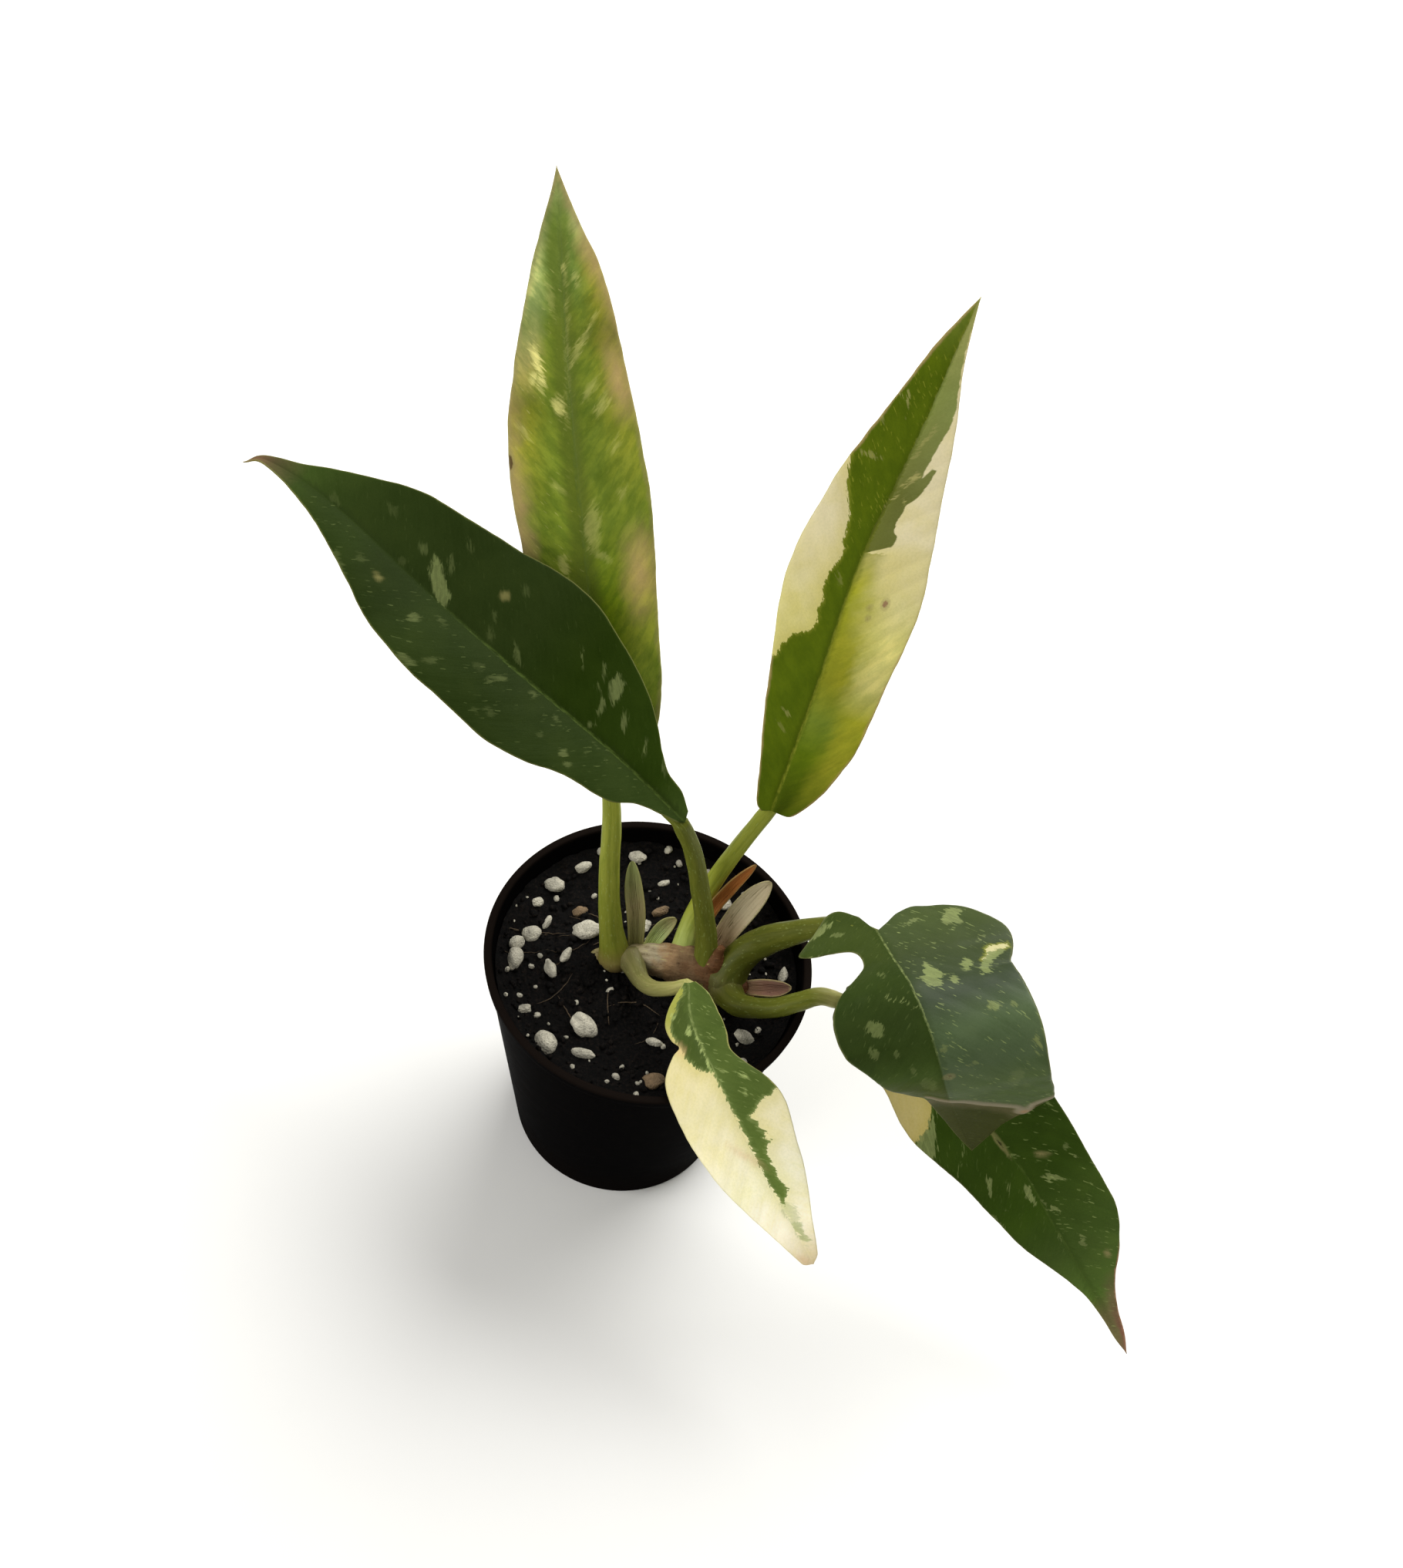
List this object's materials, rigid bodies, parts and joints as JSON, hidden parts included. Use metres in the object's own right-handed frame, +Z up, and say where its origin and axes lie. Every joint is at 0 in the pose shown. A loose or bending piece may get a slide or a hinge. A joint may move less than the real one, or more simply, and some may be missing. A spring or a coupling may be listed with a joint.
{
  "type": "potted ring of fire philodendron",
  "caption": "Young philodendron with long wavy-edged leaves variegated in green, cream and yellow, growing from a short crown in a small round tapered nursery pot of soil.",
  "frame": {"origin": "centre of the pot's flat underside, on the surface that the pot stands on", "axes": "+Z up along the pot's axis; +X towards the drooping leaf; -Y towards the side that the picture looks at, where the short cream leaf hangs over the rim"},
  "size_m": [0.2041, 0.1452, 0.1811],
  "materials": {
    "pot": "thin black nursery plastic, satin",
    "soil": "dark moist peat with pale mineral granules, matte",
    "stem": "pinkish beige living stem, satin",
    "leaf_mottled": "yellow-green mottled leaf, waxy satin",
    "leaf_dark_left": "dark green speckled leaf, glossy",
    "leaf_cream_right": "cream and green leaf, waxy satin",
    "leaf_cream_front": "cream and green leaf, waxy satin",
    "leaf_domed": "dark green leaf with yellow blotches, glossy",
    "leaf_drooping": "dark green leaf with pale blotches, glossy",
    "sheath_pale_upright": "pale yellow-green bud sheath, satin",
    "sheath_pale_leaning": "pale green bud sheath, satin",
    "sheath_dried": "dried rust-brown sheath, matte",
    "sheath_pink_upright": "pinkish white bud sheath, satin",
    "sheath_pink_lying": "pinkish bud sheath, satin"
  },
  "bodies": {
    "root": {"pot": "pot", "soil": "soil", "stem": "stem", "leaf_mottled": "leaf_mottled", "leaf_dark_left": "leaf_dark_left", "leaf_cream_right": "leaf_cream_right", "leaf_cream_front": "leaf_cream_front", "leaf_domed": "leaf_domed", "leaf_drooping": "leaf_drooping", "sheath_pale_upright": "sheath_pale_upright", "sheath_pale_leaning": "sheath_pale_leaning", "sheath_dried": "sheath_dried", "sheath_pink_upright": "sheath_pink_upright", "sheath_pink_lying": "sheath_pink_lying"}
  },
  "joints": []
}
